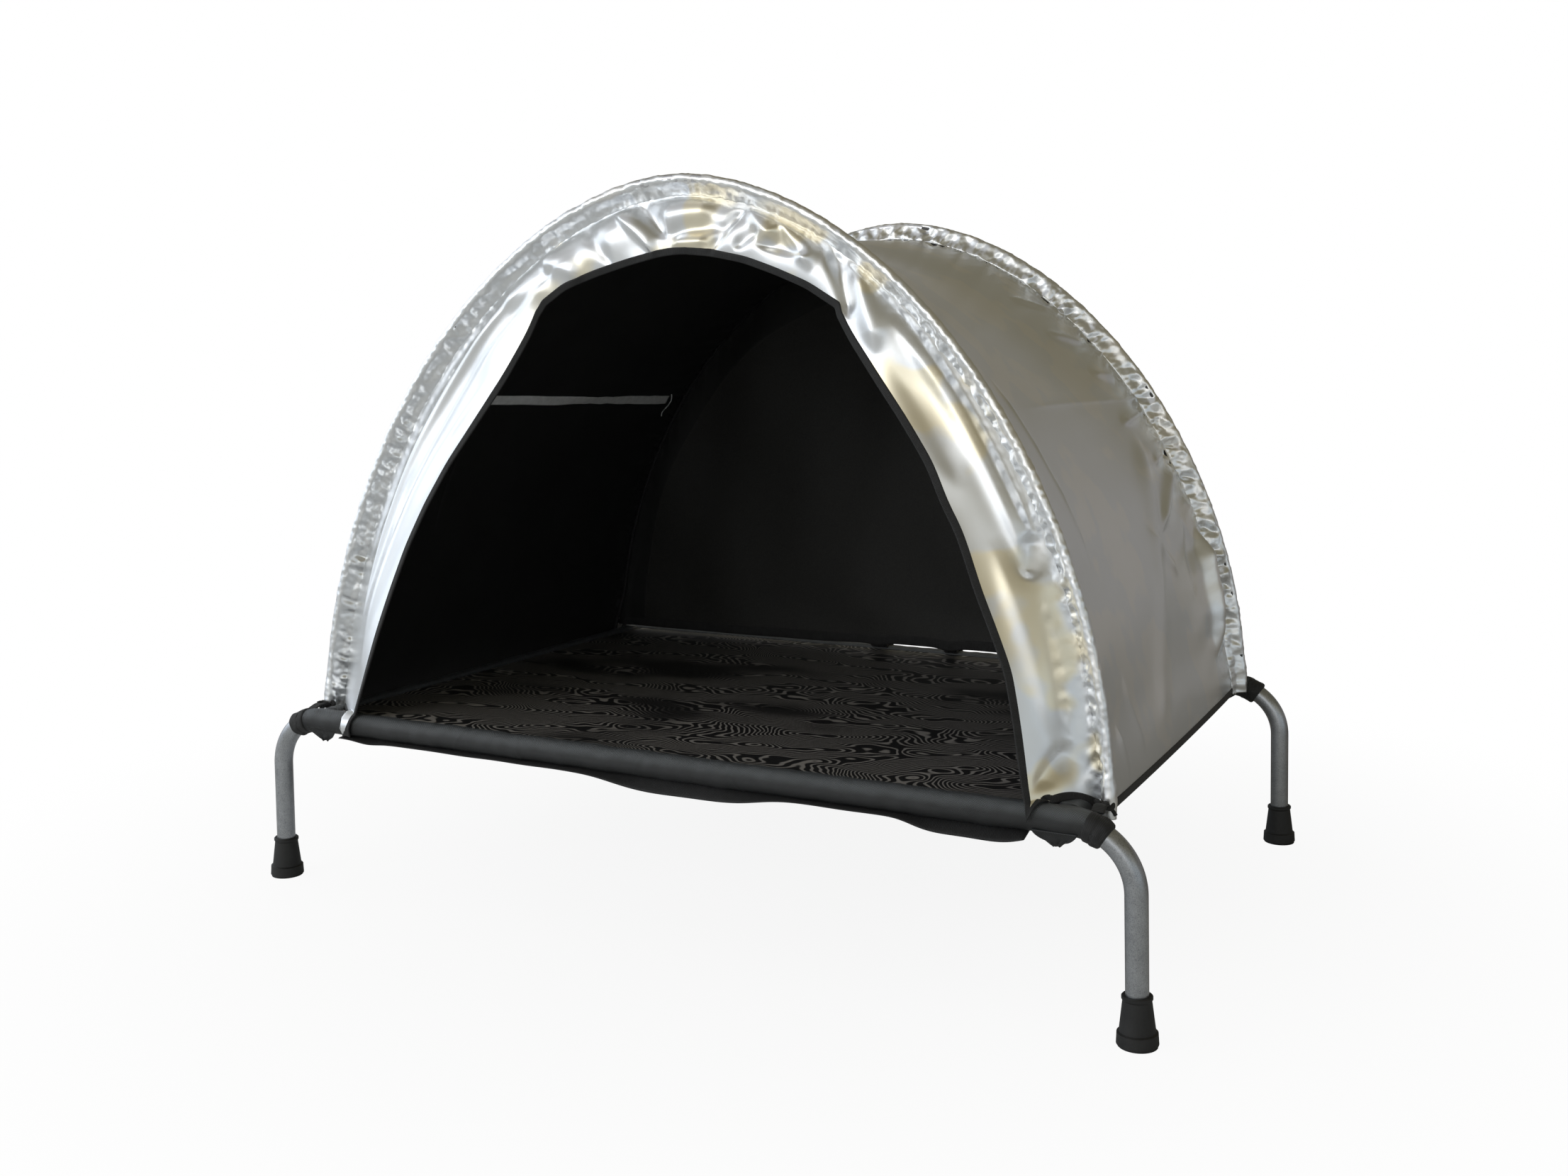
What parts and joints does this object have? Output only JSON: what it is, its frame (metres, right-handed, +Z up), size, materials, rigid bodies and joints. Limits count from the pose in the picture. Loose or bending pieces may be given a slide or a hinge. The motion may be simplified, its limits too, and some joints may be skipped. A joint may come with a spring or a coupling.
{
  "type": "raised pet bed with tent cover",
  "caption": "Raised sling pet bed on a bent steel tube frame with rubber feet, with a silver tent cover on two folding hoops.",
  "frame": {"origin": "on the floor under the middle of the frame, between the four feet", "axes": "+Z up, the doorway faces -Y, +X is to the right of a person who looks in at the doorway"},
  "size_m": [1.1194, 0.7276, 0.8306],
  "materials": {
    "tube_paint": "silver-grey metallic powder coat, satin",
    "foot_rubber": "matte black moulded rubber",
    "button_steel": "zinc-plated",
    "spring_steel": "plain spring steel",
    "mesh_fabric": "woven coated black mesh",
    "silver_fabric": "silver-coated polyester, metallic sheen, black inside",
    "back_fabric": "woven dark fabric inside, silver outside",
    "black_tape": "black woven binding tape",
    "grey_tape": "grey woven tape",
    "rod_fibreglass": "pultruded fibreglass rod",
    "ferrule_alloy": "drawn alloy tube",
    "tip_plastic": "moulded black plastic"
  },
  "bodies": {
    "root": {"button_springs": "spring_steel", "canopy": "silver_fabric", "foot_washers": "spring_steel", "front_left_corner_loop": "black_tape", "front_left_foot": "foot_rubber", "front_left_leg": "tube_paint", "front_left_socket": "tube_paint", "front_rail": "tube_paint", "front_right_corner_loop": "black_tape", "front_right_foot": "foot_rubber", "front_right_leg": "tube_paint", "front_right_socket": "tube_paint", "front_strap": "black_tape", "left_side_rail": "tube_paint", "left_wall_hem": "black_tape", "mesh_bed": "mesh_fabric", "rear_left_corner_loop": "black_tape", "rear_left_foot": "foot_rubber", "rear_left_leg": "tube_paint", "rear_left_socket": "tube_paint", "rear_rail": "tube_paint", "rear_right_corner_loop": "black_tape", "rear_right_foot": "foot_rubber", "rear_right_leg": "tube_paint", "rear_right_socket": "tube_paint", "rear_tie_left": "black_tape", "rear_tie_right": "black_tape", "right_side_rail": "tube_paint", "right_wall_hem": "black_tape", "sleeve_bindings": "black_tape", "wall_tape": "grey_tape"},
    "front_hoop": {"front_hoop_ferrule": "ferrule_alloy", "front_hoop_rod_left": "rod_fibreglass", "front_hoop_rod_right": "rod_fibreglass", "front_hoop_sleeve": "silver_fabric", "front_hoop_tips": "tip_plastic", "front_panel": "silver_fabric", "opening_binding": "black_tape"},
    "rear_hoop": {"rear_hoop_ferrule": "ferrule_alloy", "rear_hoop_rod_left": "rod_fibreglass", "rear_hoop_rod_right": "rod_fibreglass", "rear_hoop_sleeve": "silver_fabric", "rear_hoop_tips": "tip_plastic", "back_wall": "back_fabric", "back_wall_hem": "black_tape"},
    "front_left_rail_button": {"front_left_rail_button": "button_steel"},
    "front_left_side_button": {"front_left_side_button": "button_steel"},
    "front_right_rail_button": {"front_right_rail_button": "button_steel"},
    "front_right_side_button": {"front_right_side_button": "button_steel"},
    "rear_left_rail_button": {"rear_left_rail_button": "button_steel"},
    "rear_left_side_button": {"rear_left_side_button": "button_steel"},
    "rear_right_rail_button": {"rear_right_rail_button": "button_steel"},
    "rear_right_side_button": {"rear_right_side_button": "button_steel"}
  },
  "joints": [
    {"name": "front_hoop_fold", "type": "hinge", "parent": "root", "child": "front_hoop", "pos_m": [0, -0.3, 0.228], "axis": [-1, 0, 0], "range_deg": [0, 82], "deforming": ["canopy", "wall_tape", "front_panel", "opening_binding", "front_hoop_sleeve", "rear_hoop_sleeve"]},
    {"name": "rear_hoop_fold", "type": "hinge", "parent": "root", "child": "rear_hoop", "pos_m": [0, 0.325, 0.228], "axis": [1, 0, 0], "range_deg": [0, 88]},
    {"name": "front_left_rail_button_press", "type": "slide", "parent": "root", "child": "front_left_rail_button", "axis": [0, 0, 1], "range_m": [0, 0.0032], "deforming": ["button_springs"]},
    {"name": "front_left_side_button_press", "type": "slide", "parent": "root", "child": "front_left_side_button", "axis": [0, 0, 1], "range_m": [0, 0.0032], "deforming": ["button_springs"]},
    {"name": "front_right_rail_button_press", "type": "slide", "parent": "root", "child": "front_right_rail_button", "axis": [0, 0, 1], "range_m": [0, 0.0032], "deforming": ["button_springs"]},
    {"name": "front_right_side_button_press", "type": "slide", "parent": "root", "child": "front_right_side_button", "axis": [0, 0, 1], "range_m": [0, 0.0032], "deforming": ["button_springs"]},
    {"name": "rear_left_rail_button_press", "type": "slide", "parent": "root", "child": "rear_left_rail_button", "axis": [0, 0, 1], "range_m": [0, 0.0032], "deforming": ["button_springs"]},
    {"name": "rear_left_side_button_press", "type": "slide", "parent": "root", "child": "rear_left_side_button", "axis": [0, 0, 1], "range_m": [0, 0.0032], "deforming": ["button_springs"]},
    {"name": "rear_right_rail_button_press", "type": "slide", "parent": "root", "child": "rear_right_rail_button", "axis": [0, 0, 1], "range_m": [0, 0.0032], "deforming": ["button_springs"]},
    {"name": "rear_right_side_button_press", "type": "slide", "parent": "root", "child": "rear_right_side_button", "axis": [0, 0, 1], "range_m": [0, 0.0032], "deforming": ["button_springs"]}
  ],
  "couplings": [
    {"joint": "rear_hoop_fold", "follows": "front_hoop_fold", "ratio": 1.0732}
  ]
}
